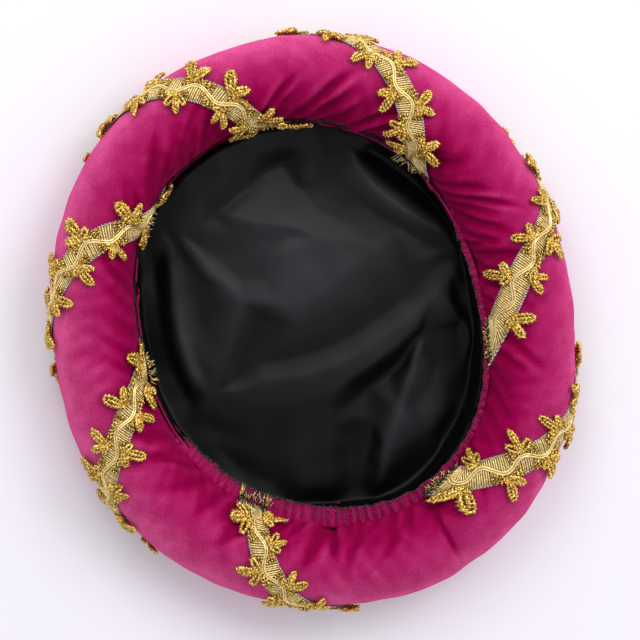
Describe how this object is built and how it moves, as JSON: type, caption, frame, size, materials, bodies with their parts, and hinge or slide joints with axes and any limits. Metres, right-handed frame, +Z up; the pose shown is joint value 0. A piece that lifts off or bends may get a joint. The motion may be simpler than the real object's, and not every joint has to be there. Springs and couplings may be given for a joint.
{
  "type": "padded roll hat",
  "caption": "Padded velvet roll round a soft satin-lined crown, wound with gold leaf trims, lying crown down with its head opening up.",
  "frame": {"origin": "middle of the hat's box on the surface that the hat lies on, under the crown's cloth", "axes": "+Z up out of the head opening, +Y along the longer side of the oval, +X across it"},
  "size_m": [0.2642, 0.2874, 0.0466],
  "materials": {
    "velvet": "magenta velvet with a soft pink sheen",
    "crown_velvet": "magenta velvet with a soft pink sheen",
    "satin": "black satin with a soft shine",
    "overlock": "velvet edge under black overlock thread",
    "gold_gimp": "metallic gold gimp yarn and braid"
  },
  "bodies": {
    "root": {"roll": "velvet", "crown": "crown_velvet", "lining": "satin", "seam_edge": "overlock", "trim_1": "gold_gimp", "trim_2": "gold_gimp", "trim_3": "gold_gimp", "trim_4": "gold_gimp", "trim_5": "gold_gimp", "trim_6": "gold_gimp", "trim_7": "gold_gimp"}
  },
  "joints": []
}
